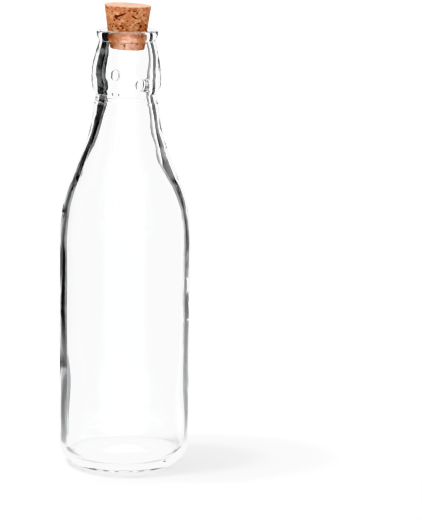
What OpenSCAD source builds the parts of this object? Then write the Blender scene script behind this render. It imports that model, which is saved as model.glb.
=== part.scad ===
// Clear glass bottle with a swing top finish, closed by a tapered cork.
// Millimetres, +Z up. The origin is on the axis, at the level of the ring
// the bottle stands on. The two bail sockets lie on the X axis.

/* [Part to build] */
// which piece to draw

/* [Bottle] */
// outside diameter of the body
body_diameter = 86; // [84:0.5:90]
// height of the glass, from the standing ring to the top of the lip
glass_height = 288.6; // [280:0.2:300]
// wall thickness of the body
wall = 3.4; // [3:0.1:3.8]
// radius of the heel, between the body and the standing ring
heel_radius = 14.2; // [12:0.2:15]
// height of the hollow under the base
push_up = 4.5; // [3:0.5:6]
// thickness of the glass in the middle of the base
base_thickness = 5; // [5:0.5:8]

/* [Finish] */
// largest diameter of the lip ring
lip_diameter = 40.4; // [39.6:0.2:41.2]
// diameter of the thick collar that carries the bail sockets
collar_diameter = 45.7; // [45:0.1:46.4]
// diameter of the two blind bail sockets
socket_diameter = 8.6; // [7.6:0.1:8.8]
// depth of a bail socket below the collar's surface
socket_depth = 4.6; // [3:0.1:5]

/* [Cork] */
// length of the cork along its axis
cork_length = 28.9; // [25:0.1:30]
// depth of the cork below the top of the lip
cork_depth = 12.9; // [10:0.1:13]
// diameter of the cork level with the top of the lip
cork_seat_diameter = 25.9; // [25:0.1:25.9]
// half angle of the cork's taper, degrees
cork_taper = 8; // [7:0.1:9]
// slope of the cork's top cut, degrees
cork_slant = 2.5; // [0:0.1:3]

/* [Hidden] */
$fn = 128;
R = body_diameter / 2;
H = glass_height;
// steps along one curved stretch of the profile
steps = 14;

// one point of a cubic curve
function cubic(a, b, c, d, t) =
    pow(1 - t, 3) * a + 3 * t * pow(1 - t, 2) * b
    + 3 * t * t * (1 - t) * c + t * t * t * d;
// a cubic stretch, without its last point
function stretch(a, b, c, d, n = steps) =
    [for (i = [0 : n - 1]) cubic(a, b, c, d, i / n)];
// an arc about (x, z), without its last point
function arc(x, z, r, a0, a1, n = steps) =
    [for (i = [0 : n - 1]) let (a = a0 + (a1 - a0) * i / n)
        [x + r * cos(a), z + r * sin(a)]];
// a smooth line through stations p, which are [radius, height]
function through(p, n = 5) =
    [for (k = [0 : len(p) - 2]) for (i = [0 : n - 1])
        let (t = i / n,
             a = p[max(k - 1, 0)], b = p[k], c = p[k + 1],
             d = p[min(k + 2, len(p) - 1)])
        (2 * b + (c - a) * t + (2 * a - 5 * b + 4 * c - d) * t * t
         + (3 * b - a - 3 * c + d) * t * t * t) / 2];

// radius of the standing ring
ring_r = R - heel_radius;
lip_r = lip_diameter / 2;
collar_r = collar_diameter / 2;
// heights of the finish, measured down from the top of the lip
z_collar = H - 32;
z_ledge = H - 40;
z_seam = H - 47.2;
z_socket = H - 33.85;

outer = concat(
    // hollow under the base
    stretch([0, push_up], [ring_r * 0.5, push_up],
            [ring_r - 7, 0.3], [ring_r - 1.6, 0]),
    // standing ring
    [[ring_r - 1.6, 0]],
    // heel
    arc(ring_r, heel_radius, heel_radius, -90, 0),
    // body, and the round of the shoulder
    stretch([R, H - 138.6], [R, H - 120.6],
            [R - 2.4, H - 110.6], [R - 7.1, H - 98.6], 18),
    // slope of the shoulder into the neck
    stretch([R - 7.1, H - 98.6], [R - 12.1, H - 86.1],
            [24.2, H - 70.6], [22.6, H - 59.2], 18),
    // neck up to the parting line under the finish
    [[22.6, H - 59.2], [21.9, H - 53.6], [21.25, z_seam - 0.6],
     [20.9, z_seam + 0.2], [20.4, z_seam + 1.0], [20.25, z_seam + 2.2]],
    // waist and ledge under the collar
    through([[20.25, z_seam + 2.2], [20.15, z_seam + 3.4],
             [19.95, z_ledge - 2.6], [19.95, z_ledge - 1.5],
             [20.35, z_ledge - 0.6], [21.2, z_ledge + 0.4],
             [22.0, z_ledge + 1.4], [22.5, z_ledge + 2.6]], 4),
    // thick collar
    stretch([22.5, z_ledge + 2.6], [collar_r, z_ledge + 4.2],
            [collar_r, z_collar - 2], [collar_r, z_collar + 1.5], 12),
    stretch([collar_r, z_collar + 1.5], [collar_r, H - 23.5],
            [20.6, H - 15], [18.75, H - 8.2], 18),
    // groove under the lip ring
    [[18.75, H - 8.2], [18.6, H - 7.2], [18.6, H - 6.5],
     [18.8, H - 6.1]],
    // lip ring
    stretch([18.8, H - 6.1], [19.4, H - 5.3], [lip_r - 0.3, H - 3.9],
            [lip_r, H - 2.3], 8),
    stretch([lip_r, H - 2.3], [lip_r + 0.05, H - 0.8],
            [lip_r - 0.7, H], [lip_r - 2.4, H], 10),
    [[lip_r - 2.4, H], [15.0, H]]);

inner = concat(
    // round of the mouth
    stretch([15.0, H], [14.0, H], [13.25, H - 0.5], [13.02, H - 1.3], 8),
    // throat, wide part behind the collar, waist, neck and shoulder
    through([[13.02, H - 1.3], [13.0, H - 3], [13.2, H - 5.5],
             [13.7, H - 8.5], [14.6, H - 12.5], [15.3, H - 16.5],
             [15.9, H - 20.5], [16.05, H - 24.5], [15.6, H - 28.5],
             [14.8, H - 32.5], [14.25, H - 36.5], [14.05, H - 40],
             [14.25, H - 44], [15.05, H - 48.5], [16.2, H - 53],
             [17.2, H - 58], [18.0, H - 63], [19.2, H - 68.5],
             [20.7, H - 73.5], [22.6, H - 78.5], [24.7, H - 83.5],
             [27.0, H - 89], [29.5, H - 95], [32.6, H - 101.5],
             [35.2, H - 108.5], [R - wall - 2.3, H - 115.5],
             [R - wall - 1.4, H - 122], [R - wall - 0.75, H - 128.5],
             [R - wall - 0.25, H - 135], [R - wall, H - 141]]),
    // body, and the round at the edge of the floor
    [[R - wall, H - 141]],
    arc(R - wall - 10, push_up + base_thickness + 6.5, 10, 0, -90),
    // floor, raised in the middle
    stretch([R - wall - 10, push_up + base_thickness - 3.5],
            [R - wall - 20, push_up + base_thickness - 3.5],
            [12, push_up + base_thickness],
            [0, push_up + base_thickness], 12),
    [[0, push_up + base_thickness]]);

// radius of the socket's floor from the bottle's axis
socket_floor = collar_r - socket_depth;

module glass_bottle() {
    color([0.85, 0.92, 0.92, 0.45])
    difference() {
        rotate_extrude() polygon(concat(outer, inner));
        // two blind bail sockets with eased rims
        for (side = [0, 180])
            rotate([0, 0, side]) translate([0, 0, z_socket])
                rotate([0, 90, 0]) {
                    translate([0, 0, socket_floor])
                        cylinder(d = socket_diameter, h = 20);
                    translate([0, 0, collar_r - 0.55])
                        cylinder(d1 = socket_diameter,
                                 d2 = socket_diameter + 1.8, h = 1.1);
                    // dished end left by the moulding pin
                    translate([0, 0, socket_floor - 0.6])
                        cylinder(d1 = socket_diameter - 4,
                                 d2 = socket_diameter, h = 0.6001);
                }
    }
}

// radius of the cork at a height above the lip
function cork_r(z) = cork_seat_diameter / 2 + z * tan(cork_taper);
cork_low = -cork_depth;
cork_high = cork_length - cork_depth;

module cork_stopper() {
    color([0.78, 0.56, 0.36])
    translate([0, 0, H])
    intersection() {
        rotate_extrude() polygon([
            [0, cork_low],
            [cork_r(cork_low) - 0.6, cork_low],
            [cork_r(cork_low) - 0.15, cork_low + 0.15],
            [cork_r(cork_low + 0.6), cork_low + 0.6],
            [cork_r(cork_high + 1), cork_high + 1],
            [0, cork_high + 1]]);
        // the top is cut a little out of square
        translate([0, 0, cork_high]) rotate([0, 0, 61])
            rotate([0, cork_slant, 0])
            translate([-40, -40, -100]) cube([80, 80, 100]);
    }
}

glass_bottle();
cork_stopper();
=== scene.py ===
import math
import bpy
import numpy as np
from mathutils import Matrix, Vector, noise


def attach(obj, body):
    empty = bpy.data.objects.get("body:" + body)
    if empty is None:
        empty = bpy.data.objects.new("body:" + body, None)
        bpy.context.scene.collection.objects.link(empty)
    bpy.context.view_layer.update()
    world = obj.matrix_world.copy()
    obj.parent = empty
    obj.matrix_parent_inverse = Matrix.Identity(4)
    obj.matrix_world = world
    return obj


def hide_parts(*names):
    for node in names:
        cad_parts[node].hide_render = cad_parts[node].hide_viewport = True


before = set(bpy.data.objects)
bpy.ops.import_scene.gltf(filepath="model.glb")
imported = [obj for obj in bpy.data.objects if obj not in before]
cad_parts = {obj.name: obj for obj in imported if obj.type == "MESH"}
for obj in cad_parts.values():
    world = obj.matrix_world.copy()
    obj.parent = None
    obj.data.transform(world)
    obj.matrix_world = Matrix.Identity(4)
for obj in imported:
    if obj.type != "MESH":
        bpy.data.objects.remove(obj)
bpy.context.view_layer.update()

scene = bpy.context.scene
MM = 0.001
H = 288.6          # glass height, mm
R = 43.0           # body radius
WALL = 3.4
LIP_R, COLLAR_R = 20.2, 22.85
SOCKET_R, SOCKET_D, SOCKET_Z = 4.2, 4.6, H - 33.85
AZ = math.radians(61.0)      # the photograph's direction of view, from +Y
VIEW_RIGHT = np.array([math.cos(AZ), math.sin(AZ)])      # to the right as the camera sees it
VIEW_BACK = np.array([-math.sin(AZ), math.cos(AZ)])      # away from the camera


# ---------------------------------------------------------------- helpers
def link(o):
    scene.collection.objects.link(o)
    return o


def mesh_object(name, verts, faces, smooth=True):
    me = bpy.data.meshes.new(name)
    me.from_pydata([tuple(v) for v in verts], [], [tuple(int(i) for i in f) for f in faces])
    me.validate(clean_customdata=False)
    me.update()
    if smooth:
        me.polygons.foreach_set("use_smooth", [True] * len(me.polygons))
    return link(bpy.data.objects.new(name, me))


def smoothstep(a, b, x):
    t = np.clip((np.asarray(x, float) - a) / (b - a), 0, 1)
    return t * t * (3 - 2 * t)


# ---------------------------------------------------------------- camera
def rz(v, a=AZ):
    c, s = math.cos(a), math.sin(a)
    return Vector((c * v[0] - s * v[1], s * v[0] + c * v[1], v[2]))


cam_data = bpy.data.cameras.new("camera")
cam_data.sensor_width = 36.0
cam_data.lens = 2312.65 * 36.0 / 520.0
cam_data.clip_start = 0.05
cam_data.clip_end = 60.0
cam = link(bpy.data.objects.new("camera", cam_data))
yaw, pitch, roll = math.radians(2.176), math.radians(12.107), math.radians(0.81)
fwd = Vector((math.sin(yaw) * math.cos(pitch), math.cos(yaw) * math.cos(pitch), -math.sin(pitch)))
right0 = Vector((math.cos(yaw), -math.sin(yaw), 0.0))
up0 = right0.cross(fwd)
right = right0 * math.cos(roll) + up0 * math.sin(roll)
up = up0 * math.cos(roll) - right0 * math.sin(roll)
right, up, fwd = rz(right), rz(up), rz(fwd)
place = rz((0.0, -1.4873, 0.45639))
cam.matrix_world = Matrix(((right.x, up.x, -fwd.x, place.x),
                           (right.y, up.y, -fwd.y, place.y),
                           (right.z, up.z, -fwd.z, place.z),
                           (0, 0, 0, 1)))
scene.camera = cam


# ---------------------------------------------------------------- the bottle's profile, in mm
def cubic(a, b, c, d, t):
    a, b, c, d = (np.array(p, float) for p in (a, b, c, d))
    return (1 - t) ** 3 * a + 3 * t * (1 - t) ** 2 * b + 3 * t * t * (1 - t) * c + t ** 3 * d


def stretch(a, b, c, d, n):
    return [cubic(a, b, c, d, i / n) for i in range(n)]


def arc(x, z, r, a0, a1, n):
    out = []
    for i in range(n):
        a = math.radians(a0 + (a1 - a0) * i / n)
        out.append(np.array([x + r * math.cos(a), z + r * math.sin(a)]))
    return out


def through(p, n):
    p = [np.array(q, float) for q in p]
    out = []
    for k in range(len(p) - 1):
        a, b, c, d = p[max(k - 1, 0)], p[k], p[k + 1], p[min(k + 2, len(p) - 1)]
        for i in range(n):
            t = i / n
            out.append((2 * b + (c - a) * t + (2 * a - 5 * b + 4 * c - d) * t * t
                        + (3 * b - a - 3 * c + d) * t ** 3) / 2)
    return out


def straight(a, b, n):
    a, b = np.array(a, float), np.array(b, float)
    return [a + (b - a) * i / n for i in range(n)]


heel = 14.2
ring_r = R - heel
z_seam, z_ledge, z_collar = H - 47.2, H - 40, H - 32
outer = (
    stretch([0, 4.5], [ring_r * 0.5, 4.5], [ring_r - 7, 0.3], [ring_r - 1.6, 0], 26)
    + straight([ring_r - 1.6, 0], [ring_r, 0], 3)
    + arc(ring_r, heel, heel, -90, 0, 34)
    + straight([R, heel], [R, H - 138.6], 30)
    + stretch([R, H - 138.6], [R, H - 120.6], [R - 2.4, H - 110.6], [R - 7.1, H - 98.6], 30)
    + stretch([R - 7.1, H - 98.6], [R - 12.1, H - 86.1], [24.2, H - 70.6], [22.6, H - 59.2], 30)
    + through([[22.6, H - 59.2], [21.9, H - 53.6], [21.35, z_seam - 0.9], [21.0, z_seam + 0.1],
               [20.45, z_seam + 0.9], [20.25, z_seam + 2.2], [20.15, z_seam + 3.4], [19.95, z_ledge - 2.6],
               [19.95, z_ledge - 1.5], [20.35, z_ledge - 0.6], [21.2, z_ledge + 0.4], [22.0, z_ledge + 1.4],
               [22.5, z_ledge + 2.6]], 6)
    + stretch([22.5, z_ledge + 2.6], [COLLAR_R, z_ledge + 4.2], [COLLAR_R, z_collar - 2],
              [COLLAR_R, z_collar + 1.5], 14)
    + stretch([COLLAR_R, z_collar + 1.5], [COLLAR_R, H - 23.5], [20.6, H - 15], [18.75, H - 8.2], 30)
    + through([[18.75, H - 8.2], [18.6, H - 7.2], [18.6, H - 6.5], [18.8, H - 6.1]], 4)
    + stretch([18.8, H - 6.1], [19.4, H - 5.3], [LIP_R - 0.3, H - 3.9], [LIP_R, H - 2.3], 12)
    + stretch([LIP_R, H - 2.3], [LIP_R + 0.05, H - 0.8], [LIP_R - 0.7, H], [LIP_R - 2.4, H], 16)
    + straight([LIP_R - 2.4, H], [15.0, H], 4)
)
inner = (
    stretch([15.0, H], [14.0, H], [13.25, H - 0.5], [13.02, H - 1.3], 12)
    + through([[13.02, H - 1.3], [13.0, H - 3], [13.2, H - 5.5],
               [13.7, H - 8.5], [14.6, H - 12.5], [15.3, H - 16.5],
               [15.9, H - 20.5], [16.05, H - 24.5], [15.6, H - 28.5],
               [14.8, H - 32.5], [14.25, H - 36.5], [14.05, H - 40],
               [14.25, H - 44], [15.05, H - 48.5], [16.2, H - 53],
               [17.2, H - 58], [18.0, H - 63], [19.2, H - 68.5],
               [20.7, H - 73.5], [22.6, H - 78.5], [24.7, H - 83.5],
               [27.0, H - 89], [29.5, H - 95], [32.6, H - 101.5],
               [35.2, H - 108.5], [R - WALL - 2.3, H - 115.5],
               [R - WALL - 1.4, H - 122], [R - WALL - 0.75, H - 128.5],
               [R - WALL - 0.25, H - 135], [R - WALL, H - 141]], 7)
    + straight([R - WALL, H - 141], [R - WALL, 16], 36)
    + arc(R - WALL - 10, 16, 10, 0, -90, 28)
    + stretch([R - WALL - 10, 6], [R - WALL - 20, 6], [12, 9.5], [0, 9.5], 22)
    + [np.array([0.0, 9.5])]
)
profile = np.array(outer + inner)
n_outer = len(outer)


# how far the blown inside wanders from the true profile, by height, on the side to the left of the view and
# on the side to the right of it, mm
WAVE_Z = [8, 16, 28, 48, 60, 75, 100, 115, 130, 150, 161, 172, 184, 192, 198, 203, 208, 213, 222, 232, 240, 246,
          251, 257, 261, 266, 272, 276, 283]
WAVE_LEFT = [0, -0.6, -0.7, -1.0, -0.8, -0.2, -0.2, -0.6, -0.5, 0.0, 0.1, 0.3, 0.5, 0.2, 0.5, 0.6, 0.6, 0.4, 0.1, -0.3,
             -0.6, -0.3, 0.3, 0.5, -0.1, -0.8, -0.9, -0.6, 0.0]
WAVE_RIGHT = [0, 0.0, 0.0, -0.7, -0.5, -0.3, -0.2, -0.7, -0.5, -0.2, 0.0, -0.2, -0.2, -0.6, -1.2, -1.5, -0.9, -0.2,
              -0.2, 0.2, 0.6, 0.4, 1.1, 0.9, 0.4, 0.3, 0.4, 0.3, 0.0]


def wander(z, table):
    """The smooth curve through a table of stations at WAVE_Z."""
    k = min(max(int(np.searchsorted(WAVE_Z, z)) - 1, 0), len(WAVE_Z) - 2)
    t = min(max((z - WAVE_Z[k]) / (WAVE_Z[k + 1] - WAVE_Z[k]), 0.0), 1.0)

    def slope(i):
        a, b = max(i - 1, 0), min(i + 1, len(WAVE_Z) - 1)
        return (table[b] - table[a]) / (WAVE_Z[b] - WAVE_Z[a]) * (WAVE_Z[k + 1] - WAVE_Z[k])

    return ((2 * t ** 3 - 3 * t * t + 1) * table[k] + (t ** 3 - 2 * t * t + t) * slope(k)
            + (3 * t * t - 2 * t ** 3) * table[k + 1] + (t ** 3 - t * t) * slope(k + 1))


def lean(z):
    """How far the lip and the cork in it stand to the right of true, mm, at height z."""
    return 0.62 * float(smoothstep(262, 286, z)) + 0.012 * max(z - H, 0.0)


# ---------------------------------------------------------------- the glass, as one lathe mesh with two sockets
def build_glass():
    cols = 320
    phi = 2 * math.pi * np.arange(cols) / cols
    n = len(profile)
    # ring 0 and the last ring are single points on the axis
    rings = range(1, n - 1)
    verts, index = [], {}
    left = math.atan2(-VIEW_RIGHT[1], -VIEW_RIGHT[0])       # the side that is on the left in the photograph

    def point(i, a):
        r, z = profile[i]
        if i >= n_outer:                       # the inside is blown, so it isn't quite true
            c, s = math.cos(a - left), math.sin(a - left)
            # the glass ran while it was hot: how far the inside lies from true on either side, mm
            dl = float(wander(z, WAVE_LEFT)) if 8 < z < 283 else 0.0
            dr = float(wander(z, WAVE_RIGHT)) if 8 < z < 283 else 0.0
            push = (dl - dr) / 2
            r = r + (dl + dr) / 2 if r > 5 else r
            z2 = z
            wave = 0.10 * float(smoothstep(14, 30, z) * (1 - smoothstep(262, 276, z)))
            q = noise.noise(Vector((1.3 * math.cos(a), 1.3 * math.sin(a), z / 46.0 + 3.1)))
            q2 = noise.noise(Vector((2.6 * math.cos(a) + 7, 2.6 * math.sin(a), z / 21.0 + 9.7)))
            r2 = r + wave * (1.6 * q + 0.9 * q2) + push * c
            if r < 1e-6:
                r2 = r
            return r2 * math.cos(a), r2 * math.sin(a), z2
        # two faint mould seams, on the Y axis
        ridge = 0.0
        if 12 < z < H - 8:
            for s in (math.pi / 2, -math.pi / 2):
                d = (a - s + math.pi) % (2 * math.pi) - math.pi
                ridge += 0.05 * math.exp(-((d * r) / 0.28) ** 2)
        r2 = (r - ridge if z > 150 else r - ridge * 0.6) * 0.9992
        return r2 * math.cos(a), r2 * math.sin(a), z

    for i in rings:
        for j in range(cols):
            index[(i, j)] = len(verts)
            verts.append(point(i, phi[j]))
    bottom = len(verts); verts.append((0.0, 0.0, profile[0][1]))
    floor_c = len(verts); verts.append((0.0, 0.0, profile[-1][1]))

    # rows of the collar that the socket patches take over
    oz = profile[:n_outer, 1]
    orr = profile[:n_outer, 0]
    lo = max(i for i in range(n_outer) if orr[i] < 20.6 and abs(oz[i] - z_ledge) < 1.4)
    hi = min(i for i in range(n_outer) if oz[i] > SOCKET_Z + 6.2 and orr[i] > 22 and oz[i] < SOCKET_Z + 12)
    half = int(round(math.degrees(0.29) / 360 * cols))       # about 6.6 mm each way
    zs, rs = oz[lo:hi + 1], orr[lo:hi + 1]

    def surface_x(y, z):
        rr = np.interp(z, zs, rs)
        return math.sqrt(max(rr * rr - y * y, 0))

    patches = {}
    for side, centre in ((1, 0), (-1, cols // 2)):
        patches[side] = (centre - half, centre + half)

    def in_patch(i, j):
        if not (lo <= i < hi):
            return False
        for side, centre in ((1, 0), (-1, cols // 2)):
            d = (j - (centre - half)) % cols
            if d < 2 * half:
                return True
        return False

    faces = []
    ring_list = list(rings)
    for a, b in zip(ring_list[:-1], ring_list[1:]):
        for j in range(cols):
            if in_patch(a, j):
                continue
            k = (j + 1) % cols
            faces.append((index[(a, j)], index[(a, k)], index[(b, k)], index[(b, j)]))
    for j in range(cols):
        k = (j + 1) % cols
        faces.append((bottom, index[(1, k)], index[(1, j)]))
        faces.append((floor_c, index[(n - 2, j)], index[(n - 2, k)]))

    # socket patches: rings that turn from the square hole in the lathe grid to a circle
    curve = [(5.6, 0.0), (5.2, 0.0), (4.95, 0.02), (4.78, 0.08), (4.64, 0.19), (4.54, 0.34), (4.46, 0.56),
             (4.4, 0.9), (4.36, 1.4), (4.33, 2.2), (4.29, 3.0), (4.22, 3.7), (4.08, 4.15), (3.8, 4.46),
             (3.35, 4.62), (2.5, 4.7), (1.7, 4.73), (0.85, 4.75)]
    for side, centre in ((1, 0), (-1, cols // 2)):
        loop = []
        js = [(centre - half + t) % cols for t in range(2 * half + 1)]
        rows = list(range(lo, hi + 1))
        for j in js[:-1]:
            loop.append(index[(rows[0], j)])
        for i in rows[:-1]:
            loop.append(index[(i, js[-1])])
        for j in reversed(js[1:]):
            loop.append(index[(rows[-1], j)])
        for i in reversed(rows[1:]):
            loop.append(index[(i, js[0])])
        pts = np.array([verts[q] for q in loop])
        yz = pts[:, 1:3] - np.array([0, SOCKET_Z])
        ang = np.arctan2(yz[:, 1], yz[:, 0])
        dist = np.hypot(yz[:, 0], yz[:, 1])
        # even the spokes' spacing out towards the circle
        start = int(np.argmin(np.abs(ang)))
        m = len(loop)
        order = np.unwrap(np.concatenate([ang, ang[:1]]))[:m]
        direction = 1 if order[-1] > order[0] else -1
        even = order[start] + direction * 2 * math.pi * ((np.arange(m) - start)) / m
        prev = loop
        steps = [0.28, 0.55, 0.8]
        shells = []
        for t in steps:
            w = t * t * (3 - 2 * t)
            an = order * (1 - w) + even * w
            rad = dist * (1 - t) + 5.6 * t
            shells.append((an, rad, np.zeros(m)))
        for rad, depth in curve:
            shells.append((even, np.full(m, rad), np.full(m, depth)))
        for an, rad, depth in shells:
            ids = []
            for q in range(m):
                y = rad[q] * math.cos(an[q])
                z = SOCKET_Z + rad[q] * math.sin(an[q])
                xs = surface_x(y, z)
                w = float(smoothstep(0.0, 1.3, depth[q]))
                x = (xs - depth[q]) * (1 - w) + (COLLAR_R - depth[q]) * w if depth[q] > 0 else xs
                x = min(x, xs)
                ids.append(len(verts))
                verts.append((side * x, y, z))
            for q in range(m):
                p = (q + 1) % m
                faces.append((prev[q], prev[p], ids[p], ids[q]))
            prev = ids
        tip = len(verts)
        verts.append((side * (COLLAR_R - 4.76), 0.0, SOCKET_Z))
        for q in range(m):
            faces.append((prev[q], prev[(q + 1) % m], tip))

    verts = [(x + VIEW_RIGHT[0] * lean(z), y + VIEW_RIGHT[1] * lean(z), z) for x, y, z in verts]
    o = mesh_object("bottle_glass", np.array(verts) * MM, faces)
    # make every face point outward
    import bmesh
    bm = bmesh.new(); bm.from_mesh(o.data)
    bmesh.ops.remove_doubles(bm, verts=bm.verts, dist=1e-7)
    bmesh.ops.recalc_face_normals(bm, faces=bm.faces)
    bm.to_mesh(o.data); bm.free()
    o.data.update()
    return o


glass = build_glass()


# ---------------------------------------------------------------- the cork
CORK_TOP, CORK_LOW = 28.9 - 12.9, -12.9


def cork_radius(z):
    return 12.95 + z * math.tan(math.radians(8.0))


def build_cork():
    cols = 300
    prof = []
    # bottom face, edge, side, edge, top face; z is above the lip
    r0, r1 = cork_radius(CORK_LOW), cork_radius(CORK_TOP)
    for k in range(1, 20):
        prof.append((r0 * 0.93 * k / 19, CORK_LOW))
    prof += [(r0 - 0.45, CORK_LOW + 0.05), (r0 - 0.18, CORK_LOW + 0.2), (r0 - 0.02, CORK_LOW + 0.5)]
    side = 130
    for k in range(1, side):
        z = CORK_LOW + 0.5 + (CORK_TOP - CORK_LOW - 0.95) * k / side
        prof.append((cork_radius(z), z))
    prof += [(r1 - 0.09, CORK_TOP - 0.42), (r1 - 0.2, CORK_TOP - 0.2), (r1 - 0.42, CORK_TOP - 0.06),
             (r1 - 0.75, CORK_TOP)]
    for k in range(1, 46):
        prof.append(((r1 - 0.75) * (1 - k / 46), CORK_TOP))
    slope = math.tan(math.radians(2.5))
    verts, faces, marks = [], [], []
    rows = len(prof)
    pits = []
    rng = np.random.default_rng(11)
    # pits where granules have dropped out: (angle from the view, height above the lip, half width, half height, depth, tilt)
    placed = [(-32, 8.9, 0.9, 1.5, 0.95, 0.5), (-26, 9.6, 1.7, 0.55, 0.9, 0.45), (-17, 10.3, 1.5, 0.5, 0.85, 0.55),
              (-38, 6.8, 0.45, 0.6, 0.7, 0.0), (-24, 7.6, 1.0, 0.35, 0.6, -0.5), (-10, 11.4, 1.1, 0.4, 0.5, 0.5),
              (15, 9.6, 1.2, 0.45, 0.55, -0.55), (21, 8.6, 0.9, 0.4, 0.5, -0.7), (3, 13.4, 0.8, 0.45, 0.5, 0.1),
              (17, 13.2, 0.9, 0.4, 0.5, 0.2), (25, 11.8, 0.5, 0.5, 0.45, 0.2), (-18, 3.4, 0.8, 0.5, 0.7, 0.3),
              (-13, 2.0, 0.7, 0.45, 0.7, 0.3), (-34, 3.2, 0.5, 0.5, 0.6, 0.1), (-29, 1.5, 0.8, 0.4, 0.7, 0.2),
              (-46, 2.6, 0.6, 0.5, 0.6, 0.1), (-3, 1.0, 0.6, 0.4, 0.4, 0.1), (39, 3.0, 0.9, 0.9, 0.7, 0.6),
              (31, 5.2, 0.7, 0.45, 0.5, 0.4), (34, 1.0, 0.6, 0.4, 0.5, 0.0), (46, 10.2, 0.6, 0.9, 0.45, 0.2),
              (0, 6.6, 0.5, 0.4, 0.4, 0.2), (8, 4.0, 0.5, 0.35, 0.35, 0.2), (-44, 12.4, 0.5, 0.6, 0.4, 0.0),
              (12, -6.5, 0.8, 1.2, 0.5, 0.1), (-8, -9.5, 0.7, 0.9, 0.5, 0.2), (30, -8.0, 0.6, 0.6, 0.5, 0.2)]
    front = math.atan2(-VIEW_BACK[1], -VIEW_BACK[0])
    for a, z, w, h, d, t in placed:
        pits.append((front + math.radians(a), z, w, h, d, t))
    for _ in range(90):
        while True:
            a, z = rng.uniform(0, 2 * math.pi), rng.uniform(-11, 15)
            w, h, d, t = rng.uniform(0.25, 1.0), rng.uniform(0.2, 0.5), rng.uniform(0.15, 0.7), rng.uniform(-0.7, 0.7)
            off = (a - front + math.pi) % (2 * math.pi) - math.pi
            if abs(off) > 0.95 or d < 0.3:      # the side in the photograph has its own, above
                break
        pits.append((a, z, w, h, d, t))
    top_pits = [(rng.uniform(-12, 12), rng.uniform(-12, 12), rng.uniform(0.3, 1.1), rng.uniform(0.2, 0.6))
                for _ in range(34)]

    def relief(x, y, z):
        p = Vector((x, y, z))
        # granules stand a little proud of each other
        warp = Vector((noise.noise(p / 1.9), noise.noise(p / 1.9 + Vector((9, 0, 0))), noise.noise(p / 1.9 + Vector((0, 9, 0)))))
        v = noise.voronoi((p + warp * 0.9) / 2.3 + Vector((3.3, 1.7, 0.4)), distance_metric="DISTANCE", exponent=2.5)
        gap = v[0][1] - v[0][0]
        cell = 0.5 + 0.5 * noise.noise(v[1][0] * 7.7)
        seam = 1 - min(1.0, gap / 0.17)
        open_seam = float(smoothstep(-0.05, 0.35, noise.noise(p / 3.3 + Vector((2, 4, 6)))))
        d = -0.17 * seam * (0.35 + 0.65 * open_seam)
        d -= 0.07 * (1 - cell)
        d += 0.05 * noise.noise(p / 0.8) + 0.03 * noise.noise(p / 0.35 + Vector((5, 5, 5)))
        return d, cell, seam * (0.35 + 0.65 * open_seam)

    for k, (r, z) in enumerate(prof):
        for j in range(cols):
            a = 2 * math.pi * j / cols
            x, y = r * math.cos(a), r * math.sin(a)
            down = 0.0
            if z > 6:                                 # the slanted top cut
                s = (x * VIEW_RIGHT[0] + y * VIEW_RIGHT[1]) * slope
                down = -s * (z - 6.0) / (CORK_TOP - 6.0)
            if z < -6:                                # and the foot's
                s = (x * VIEW_RIGHT[0] + y * VIEW_RIGHT[1]) * slope
                down = -s * (-6.0 - z) / (-6.0 - CORK_LOW)
            d, cell, seam = relief(x, y, z)
            on_side = CORK_LOW + 0.3 < z < CORK_TOP - 0.3
            pit = 0.0
            if on_side:
                for (pa, pz, w, h, dep, t) in pits:
                    dz = z - pz
                    if abs(dz) > 3.2:
                        continue
                    da = ((a - pa + math.pi) % (2 * math.pi) - math.pi) * r
                    if abs(da) > 4:
                        continue
                    u = (da * math.cos(t) + dz * math.sin(t)) / w
                    q = (-da * math.sin(t) + dz * math.cos(t)) / h
                    e = u * u + q * q + 0.9 * noise.noise(Vector((x, y, z)) / 0.7)
                    if e < 1.6:
                        pit = max(pit, dep * (1 - float(smoothstep(0.45, 1.6, e))))
            elif z > 0:
                for (px, py, w, dep) in top_pits:
                    e = ((x - px) ** 2 + (y - py) ** 2) / (w * w) + 0.9 * noise.noise(Vector((x, y, z)) / 0.7)
                    if e < 1.6:
                        pit = max(pit, dep * (1 - float(smoothstep(0.5, 1.6, e))))
            # the pit's depth is also kept as the mask for the painted shade in the pits
            marks.append((min(1.0, pit / 0.55), cell, seam, 1.0))
            pit *= 0.85
            if on_side:
                rr = r + min(d, 0.0) - pit
                verts.append((rr * math.cos(a), rr * math.sin(a), z + down + H))
            else:
                s = 1 if z > 0 else -1
                verts.append((x, y, z + down + H + s * (min(d, 0.0) - pit)))
    for k in range(rows - 1):
        for j in range(cols):
            q = (j + 1) % cols
            faces.append((k * cols + j, k * cols + q, (k + 1) * cols + q, (k + 1) * cols + j))
    low = len(verts); verts.append((0, 0, CORK_LOW + H)); marks.append((0, 0.5, 0, 1))
    top = len(verts); verts.append((0, 0, CORK_TOP + H)); marks.append((0, 0.5, 0, 1))
    for j in range(cols):
        q = (j + 1) % cols
        faces.append((low, q, j))
        faces.append((top, (rows - 1) * cols + j, (rows - 1) * cols + q))
    verts = [(x + VIEW_RIGHT[0] * lean(z), y + VIEW_RIGHT[1] * lean(z), z) for x, y, z in verts]
    o = mesh_object("cork", np.array(verts) * MM, faces)
    att = o.data.color_attributes.new("grain", "FLOAT_COLOR", "POINT")
    att.data.foreach_set("color", np.array(marks, float).ravel())
    return o


cork = build_cork()


# ---------------------------------------------------------------- materials
def new_material(name):
    m = bpy.data.materials.new(name)
    m.use_nodes = True
    nt = m.node_tree
    bsdf = nt.nodes.get("Principled BSDF")
    return m, nt, bsdf


def node(nt, kind, **values):
    n = nt.nodes.new(kind)
    for k, v in values.items():
        setattr(n, k, v)
    return n


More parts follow.
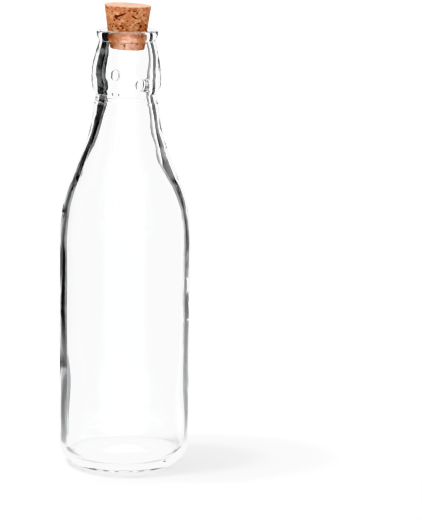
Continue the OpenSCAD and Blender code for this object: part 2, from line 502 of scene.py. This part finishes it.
def glass_material():
    m, nt, b = new_material("clear_glass")
    b.inputs["Base Color"].default_value = (0.985, 0.99, 0.99, 1)
    b.inputs["Roughness"].default_value = 0.0
    b.inputs["IOR"].default_value = 1.5
    b.inputs["Transmission Weight"].default_value = 1.0
    return m


def ramp(nt, stops, source):
    n = node(nt, "ShaderNodeValToRGB")
    e = n.color_ramp.elements
    for k, (p, c) in enumerate(stops):
        q = e[k] if k < 2 else e.new(p)
        q.position = p
        q.color = (*c, 1) if isinstance(c, tuple) else (c, c, c, 1)
    nt.links.new(source, n.inputs[0])
    return n.outputs[0]


def cork_material():
    m, nt, b = new_material("cork")

    def mix(kind, factor, c1, c2):
        n = node(nt, "ShaderNodeMix", data_type="RGBA", blend_type=kind)
        for i, q in ((0, factor), (6, c1), (7, c2)):
            if isinstance(q, (int, float, tuple)):
                n.inputs[i].default_value = q
            else:
                nt.links.new(q, n.inputs[i])
        return n.outputs[2]

    def calc(op, x, y):
        n = node(nt, "ShaderNodeMath", operation=op)
        for i, q in enumerate((x, y)):
            if isinstance(q, (int, float)):
                n.inputs[i].default_value = q
            else:
                nt.links.new(q, n.inputs[i])
        return n.outputs[0]

    tex = node(nt, "ShaderNodeTexCoord")
    scale = node(nt, "ShaderNodeMapping")
    scale.inputs["Scale"].default_value = (1000, 1000, 1000)      # work in mm
    nt.links.new(tex.outputs["Object"], scale.inputs["Vector"])

    def grain(size, detail=4.0, rough=0.55):
        n = node(nt, "ShaderNodeTexNoise")
        n.inputs["Scale"].default_value = size
        n.inputs["Detail"].default_value = detail
        n.inputs["Roughness"].default_value = rough
        nt.links.new(scale.outputs[0], n.inputs["Vector"])
        return n.outputs["Fac"]

    # what the mesh knows: pits, each granule's own tone, and the seams between granules
    att = node(nt, "ShaderNodeAttribute")
    att.attribute_name = "grain"
    sep = node(nt, "ShaderNodeSeparateColor")
    nt.links.new(att.outputs["Color"], sep.inputs[0])
    pit, cell, seam = sep.outputs[0], sep.outputs[1], sep.outputs[2]
    small = node(nt, "ShaderNodeTexVoronoi")
    small.inputs["Scale"].default_value = 0.9
    nt.links.new(scale.outputs[0], small.inputs["Vector"])
    sep2 = node(nt, "ShaderNodeSeparateColor")
    nt.links.new(small.outputs["Color"], sep2.inputs[0])
    tone = calc("ADD", calc("MULTIPLY", cell, 0.85), calc("MULTIPLY", sep2.outputs[0], 0.30))
    tone = calc("ADD", tone, calc("MULTIPLY", calc("SUBTRACT", grain(0.55, 3.0), 0.5), 0.9))
    colour = ramp(nt, [(0.22, (0.37, 0.135, 0.076)), (0.95, (0.69, 0.44, 0.29)), (0.42, (0.47, 0.193, 0.102)),
                       (0.60, (0.54, 0.247, 0.138)), (0.78, (0.61, 0.33, 0.194))], tone)
    # fine grain
    fine = grain(2.4, 5.0, 0.65)
    colour = mix("MULTIPLY", 1.0, colour, ramp(nt, [(0.30, (0.76, 0.68, 0.62)), (0.62, (1.07, 1.07, 1.07)),
                                                    (0.46, (0.95, 0.93, 0.92))], fine))
    # seams between granules
    colour = mix("MIX", calc("MULTIPLY", seam, 0.34), colour, (0.24, 0.075, 0.035, 1))
    # dark bark specks
    speck = ramp(nt, [(0.66, 0.0), (0.72, 1.0)], grain(0.95, 2.0))
    colour = mix("MIX", calc("MULTIPLY", speck, 0.3), colour, (0.22, 0.07, 0.035, 1))
    # pits: painted shade, darker the deeper the pit
    colour = mix("MIX", ramp(nt, [(0.12, 0.0), (0.55, 1.0)], pit), colour, (0.19, 0.060, 0.030, 1))
    # the top face is painted paler and pinker: partly the sawn face's own paler tone, partly painted sheen and painted
    # top light
    nz = node(nt, "ShaderNodeSeparateXYZ")
    nt.links.new(tex.outputs["Normal"], nz.inputs[0])
    pale = ramp(nt, [(0.25, 0.0), (0.75, 1.0)], nz.outputs[2])
    colour = mix("MIX", calc("MULTIPLY", pale, 0.78), colour, (0.38, 0.24, 0.185, 1))
    nt.links.new(colour, b.inputs["Base Color"])
    b.inputs["Roughness"].default_value = 0.7
    b.inputs["Specular IOR Level"].default_value = 0.4
    bump = node(nt, "ShaderNodeBump")
    bump.inputs["Strength"].default_value = 0.6
    bump.inputs["Distance"].default_value = 0.0002
    nt.links.new(fine, bump.inputs["Height"])
    nt.links.new(bump.outputs[0], b.inputs["Normal"])
    return m


glass.data.materials.append(glass_material())
cork.data.materials.append(cork_material())
for piece, cad, body, slot in ((glass, "glass_bottle", "bottle", "clear_glass"),
                               (cork, "cork_stopper", "stopper", "cork")):
    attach(piece, body)
    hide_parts(cad)


# ---------------------------------------------------------------- studio
scene.view_settings.view_transform = "Standard"
scene.view_settings.look = "None"
# a contrasty print: the highlights are pressed together just under white
scene.view_settings.use_curve_mapping = True
tone = scene.view_settings.curve_mapping
tone.white_level = (1.25, 1.25, 1.25)
c = tone.curves[3]
c.points[0].location = (0.0, 0.0)
c.points[1].location = (1.0, 1.0)
for x, y in ((0.04, 0.004), (0.08, 0.016), (0.125, 0.058), (0.20, 0.158), (0.30, 0.29), (0.40, 0.42), (0.52, 0.58),
             (0.62, 0.74), (0.72, 0.87), (0.82, 0.93), (0.92, 0.95), (1.06, 0.965), (1.12, 1.0)):
    c.points.new(x / 1.25, y)
tone.update()
scene.cycles.max_bounces = 24
scene.cycles.transmission_bounces = 24
scene.cycles.glossy_bounces = 16
scene.cycles.diffuse_bounces = 4
scene.cycles.caustics_reflective = False
scene.cycles.caustics_refractive = True
scene.cycles.blur_glossy = 0.0

world = bpy.data.worlds.new("studio")
scene.world = world
world.use_nodes = True
world.node_tree.nodes["Background"].inputs[0].default_value = (1, 1, 1, 1)
world.node_tree.nodes["Background"].inputs[1].default_value = 1.17


def emitter(name, build):
    m = bpy.data.materials.new(name)
    m.use_nodes = True
    nt = m.node_tree
    nt.nodes.clear()
    out = nt.nodes.new("ShaderNodeOutputMaterial")
    e = nt.nodes.new("ShaderNodeEmission")
    nt.links.new(e.outputs[0], out.inputs[0])
    build(nt, e)
    return m


# floor
s = 6.0
nn = 8
fv = [(-s + 2 * s * i / nn, -s + 2 * s * j / nn, 0.0) for i in range(nn + 1) for j in range(nn + 1)]
ff = [(i * (nn + 1) + j, (i + 1) * (nn + 1) + j, (i + 1) * (nn + 1) + j + 1, i * (nn + 1) + j + 1)
      for i in range(nn) for j in range(nn)]
floor = mesh_object("floor", fv, ff, smooth=False)
fm, fnt, fb = new_material("pale_floor")
fb.inputs["Base Color"].default_value = (0.36, 0.36, 0.363, 1)
fb.inputs["Roughness"].default_value = 0.9
fb.inputs["Specular IOR Level"].default_value = 0.0
fb.inputs["Emission Color"].default_value = (1, 1, 1, 1)
fb.inputs["Emission Strength"].default_value = 0.40
floor.data.materials.append(fm)

# key light: high on the photograph's left
key = bpy.data.lights.new("key", "SUN")
key.energy = 3.9
key.angle = math.radians(14)
key_o = link(bpy.data.objects.new("key", key))
el = math.radians(70)
to_light = Vector((-VIEW_RIGHT[0] * math.cos(el), -VIEW_RIGHT[1] * math.cos(el), math.sin(el)))
to_light += Vector((-VIEW_BACK[0], -VIEW_BACK[1], 0)) * 0.04
key_o.rotation_euler = to_light.to_track_quat("Z", "Y").to_euler()

# the studio's dark cards: they stand behind the bottle, just outside the photograph's frame on
# either side, and stay where they are from every other angle of view
rig = link(bpy.data.objects.new("studio", None))
rig.rotation_euler = (0.0, 0.0, AZ)


def card(name, pts, z0, z1, across, upward):
    """A standing card along pts, in the rig's frame: x to the camera's right, y away from it.
    across and upward are its tones of painted glow along its length and by height; the lighter one counts: the card is
    no lamp."""
    v, f = [], []
    for i, (x, y) in enumerate(pts):
        v += [(x, y, z0), (x, y, z1)]
        if i:
            f.append((2 * i - 2, 2 * i, 2 * i + 1, 2 * i - 1))
    o = mesh_object(name, v, f, smooth=False)
    uv = o.data.uv_layers.new(name="across")
    length = [0.0]
    for (x0, y0), (x1, y1) in zip(pts[:-1], pts[1:]):
        length.append(length[-1] + math.hypot(x1 - x0, y1 - y0))
    for p in o.data.polygons:
        for li in p.loop_indices:
            vi = o.data.loops[li].vertex_index
            uv.data[li].uv = (length[vi // 2], z1 if vi % 2 else z0)

    def build(nt, e):
        t = nt.nodes.new("ShaderNodeUVMap")
        sx = nt.nodes.new("ShaderNodeSeparateXYZ")
        nt.links.new(t.outputs[0], sx.inputs[0])
        tones = []
        for k, shade in enumerate((across, upward)):
            r = nt.nodes.new("ShaderNodeValToRGB")
            nt.links.new(sx.outputs[k], r.inputs[0])
            el = r.color_ramp.elements
            for k2, (p, c) in enumerate(shade):
                q = el[k2] if k2 < 2 else el.new(p)
                q.position = p
                q.color = (c, c, c * 1.02, 1)
            tones.append(r.outputs[0])
        both = nt.nodes.new("ShaderNodeMix")
        both.data_type = "RGBA"
        both.blend_type = "LIGHTEN"
        both.inputs[0].default_value = 1.0
        nt.links.new(tones[0], both.inputs[6])
        nt.links.new(tones[1], both.inputs[7])
        nt.links.new(both.outputs[2], e.inputs[0])
        e.inputs[1].default_value = 1.0

    o.data.materials.append(emitter(name, build))
    o.visible_camera = False
    o.visible_diffuse = False
    o.visible_shadow = False
    o.parent = rig
    return o


def front_card():
    """The studio behind the camera: a tall half drum, lit in the middle and dark to the sides."""
    n, m, rad = 64, 24, 3.2
    v, f = [], []
    for i in range(n + 1):
        a = math.radians(-95 + 190 * i / n)
        for j in range(m + 1):
            e = math.radians(-2 + 80 * j / m)
            v.append((rad * math.sin(a) * math.cos(e), -rad * math.cos(a) * math.cos(e), rad * math.sin(e)))
    for i in range(n):
        for j in range(m):
            q = i * (m + 1) + j
            f.append((q, q + m + 1, q + m + 2, q + 1))
    o = mesh_object("room", v, f, smooth=False)
    uv = o.data.uv_layers.new(name="across")
    for lp in o.data.loops:
        uv.data[lp.index].uv = ((lp.vertex_index // (m + 1)) / n, (lp.vertex_index % (m + 1)) / m)
    stops = [((95 + q) / 190, c) for q, c in ROOM]
    o.data.materials.append(ramp_emitter("room", 0, stops))
    o.visible_camera = False
    o.visible_shadow = False
    o.parent = rig


def fill():
    """A broad soft fill in front: it lights what stands inside the glass, and doesn't mirror in it."""
    n, m, rad = 20, 10, 3.1
    v, f, glow = [], [], []
    for i in range(n + 1):
        a = math.radians(-50 + 100 * i / n)
        for j in range(m + 1):
            e = math.radians(4 + 56 * j / m)
            v.append((rad * math.sin(a) * math.cos(e), -rad * math.cos(a) * math.cos(e), rad * math.sin(e)))
            g = min(1.0, 1.6 * math.sin(math.pi * i / n)) * min(1.0, 1.6 * math.sin(math.pi * (0.04 + 0.92 * j / m)))
            glow.append((g, g, g, 1.0))
    for i in range(n):
        for j in range(m):
            q = i * (m + 1) + j
            f.append((q, q + m + 1, q + m + 2, q + 1))
    o = mesh_object("fill", v, f, smooth=False)
    att = o.data.color_attributes.new("glow", "FLOAT_COLOR", "POINT")
    att.data.foreach_set("color", np.array(glow, float).ravel())
    o.data.materials.append(glow_emitter("fill", FILL))
    o.visible_camera = False
    o.visible_diffuse = False
    o.visible_glossy = False
    o.visible_shadow = False
    o.parent = rig


def ramp_emitter(name, uv_axis, stops):
    def build(nt, e):
        t = nt.nodes.new("ShaderNodeUVMap")
        sx = nt.nodes.new("ShaderNodeSeparateXYZ")
        r = nt.nodes.new("ShaderNodeValToRGB")
        nt.links.new(t.outputs[0], sx.inputs[0])
        nt.links.new(sx.outputs[uv_axis], r.inputs[0])
        el = r.color_ramp.elements
        for k, (p, c) in enumerate(stops):
            q = el[k] if k < 2 else el.new(p)
            q.position = p
            q.color = (c, c, c * 1.02, 1)
        nt.links.new(r.outputs[0], e.inputs[0])
        e.inputs[1].default_value = 1.0

    return emitter(name, build)


# tones of the room by angle from the camera, degrees
ROOM = [(-95, 0.02), (95, 0.02), (-66, 0.03), (-48, 1.1), (48, 1.1), (66, 0.03)]
FILL = 3.6


def painted_glow_sheet(name, us, vs, where, tone):
    """A glowing sheet lying on the table, its painted glow set by tone(u, w) to stand for lit paper: only the glass
    sees it.
    """
    v, f, tones = [], [], []
    for u in us:
        for w in vs:
            x, y = where(u, w)
            v.append((x, y, 0.0006))
            t = tone(u, w)
            tones.append((t, t, t * 1.02, 1.0))
    m = len(vs)
    for i in range(len(us) - 1):
        for j in range(m - 1):
            q = i * m + j
            f.append((q, q + m, q + m + 1, q + 1))
    o = mesh_object(name, v, f, smooth=False)
    att = o.data.color_attributes.new("glow", "FLOAT_COLOR", "POINT")
    att.data.foreach_set("color", np.array(tones, float).ravel())
    o.data.materials.append(glow_emitter(name, 1.0))
    o.visible_camera = False
    o.visible_diffuse = False
    o.visible_shadow = False
    o.parent = rig
    return o


def glow_emitter(name, strength):
    def build(nt, e):
        t = nt.nodes.new("ShaderNodeAttribute")
        t.attribute_name = "glow"
        nt.links.new(t.outputs["Color"], e.inputs[0])
        e.inputs[1].default_value = strength

    return emitter(name, build)


front_card()
fill()
card("card_left", [(-0.111, 0.24), (-0.40, 0.20), (-0.50, 0.08), (-0.53, -0.14)], -0.01, 0.55,
     [(0.0, 0.02), (1.0, 0.012), (0.004, 0.012)],
     [(0.0, 0.17), (1.0, 0.008), (0.02, 0.12), (0.045, 0.03), (0.06, 0.025), (0.08, 0.08), (0.12, 0.13), (0.20, 0.12),
      (0.24, 0.012)])
card("card_right", [(0.190, 0.44), (0.45, 0.36)], -0.01, 0.65,
     [(0.0, 0.16), (1.0, 0.012), (0.02, 0.06), (0.06, 0.012)],
     [(0.0, 0.24), (1.0, 0.008), (0.04, 0.15), (0.08, 0.13), (0.15, 0.10), (0.20, 0.04), (0.235, 0.008)])
# the table in front of the bottle is a glowing sheet of painted light: it falls off into the dark of the room, sooner
# to the sides


def painted_front_glow(a, r):
    near = float(np.interp(r, [0.045, 0.10, 0.2, 0.4, 0.9, 1.6, 3.1], [1.1, 1.0, 0.5, 0.24, 0.11, 0.07, 0.05]))
    near *= 1 - 0.65 * float(smoothstep(55, 80, abs(math.degrees(a))))
    return near + (1.0 - near) * (1 - float(smoothstep(34, 52, abs(math.degrees(a))))) * float(r > 0.1)


def on_table(a, r):
    return r * math.sin(a), -r * math.cos(a)


painted_glow_sheet("table_front", [math.radians(a) for a in range(-96, 97, 6)],
           [0.10, 0.13, 0.16, 0.2, 0.3, 0.4, 0.7, 0.9, 1.2, 1.6, 2.3, 3.1], on_table, painted_front_glow)
# close beside the bottle the same painted glow runs round to the sides
painted_glow_sheet("table_side_left", [math.radians(a) for a in range(-96, -59, 6)], [0.045, 0.06, 0.08, 0.10], on_table,
           painted_front_glow)
painted_glow_sheet("table_side_right", [math.radians(a) for a in range(60, 97, 6)], [0.045, 0.06, 0.08, 0.10], on_table,
           painted_front_glow)


def painted_light_under_bottle(a, r):
    """Painted light on the paper under the bottle: a glow that stands for the light coming through the glass, less so
    where the heel and the push-up bend it, with a painted dark ring under the front of the heel and a painted shadow
    round the foot, deeper in front.
    """
    near = float(smoothstep(-0.5, 0.0, math.cos(a)))
    side = abs(math.sin(a))
    t = 1.02 - 0.07 * float(smoothstep(0.027, 0.034, r)) - 0.05 * (1 - float(smoothstep(0.015, 0.024, r)))
    t -= near * 0.55 * math.exp(-((r - 0.038) / 0.0018) ** 2) * (0.45 + 0.55 * side)
    return t - (0.18 + 0.34 * near) * float(smoothstep(0.0405, 0.0440, r))


# painted light and painted shade under the bottle, seen only through the glass
painted_glow_sheet("table_under_painted_light", [math.radians(a) for a in range(0, 361, 6)],
           [0.001, 0.006, 0.012, 0.016, 0.020, 0.024] + [0.027 + 0.00075 * k for k in range(27)],
           on_table, painted_light_under_bottle)
# and the white paper it stands on is a wedge that widens away from the camera; either side of it lie glowing sheets of
# painted light, lighter next to the bottle and darker farther back
slope_l, slope_r = [math.tan(math.radians(q)) for q in (16.3, 24, 32, 45, 60, 75, 83, 88)], \
    [math.tan(math.radians(q)) for q in (18.0, 24, 28, 32, 36, 40, 44, 48)]
painted_glow_sheet("table_left", [0, 1, 2, 3, 4, 5, 6, 7], [0.0, 0.012, 0.03, 0.06, 0.10, 0.16, 0.238],
           lambda u, w: (-0.041 - w * slope_l[u], w),
           lambda u, w: float(np.interp(w, [0.0, 0.03, 0.06, 0.10, 0.238], [0.85, 0.50, 0.32, 0.24, 0.19])))
painted_glow_sheet("table_right", [0, 1, 2, 3, 4, 5, 6, 7], [0.0, 0.012, 0.03, 0.08, 0.14, 0.22, 0.40],
           lambda u, w: (0.041 + w * slope_r[u], w),
           lambda u, w: float(np.interp(w, [0.0, 0.03, 0.08, 0.16, 0.40], [0.90, 0.62, 0.42, 0.32, 0.26])))


def softbox(name, azimuth, elevation, wide, high, distance, strength):
    """A lamp in front of the bottle, beside the camera: a soft panel that fades out to its rim."""
    n = 16
    a, e = math.radians(azimuth), math.radians(elevation)
    c = Vector((math.sin(a) * math.cos(e), -math.cos(a) * math.cos(e), math.sin(e))) * distance
    c.z += 0.275
    side = Vector((math.cos(a), math.sin(a), 0.0))
    upv = side.cross((Vector((0, 0, 0.275)) - c).normalized())
    upv = upv if upv.z > 0 else -upv
    v, f, glow = [], [], []
    for i in range(n + 1):
        for j in range(n + 1):
            v.append(c + side * (wide * (i / n - 0.5)) + upv * (high * (j / n - 0.5)))
            g = math.sin(math.pi * i / n) * math.sin(math.pi * j / n)
            glow.append((g, g, g, 1.0))
    for i in range(n):
        for j in range(n):
            q = i * (n + 1) + j
            f.append((q, q + n + 1, q + n + 2, q + 1))
    o = mesh_object(name, v, f, smooth=False)
    att = o.data.color_attributes.new("glow", "FLOAT_COLOR", "POINT")
    att.data.foreach_set("color", np.array(glow, float).ravel())

    o.data.materials.append(glow_emitter(name, strength))
    o.visible_camera = False
    o.visible_shadow = False
    o.parent = rig
    return o


softbox("softbox_left", -24, 19, 0.50, 0.26, 1.2, 4.0)
softbox("softbox_right", 17, 19, 0.22, 0.26, 1.2, 4.0)

bpy.context.view_layer.update()
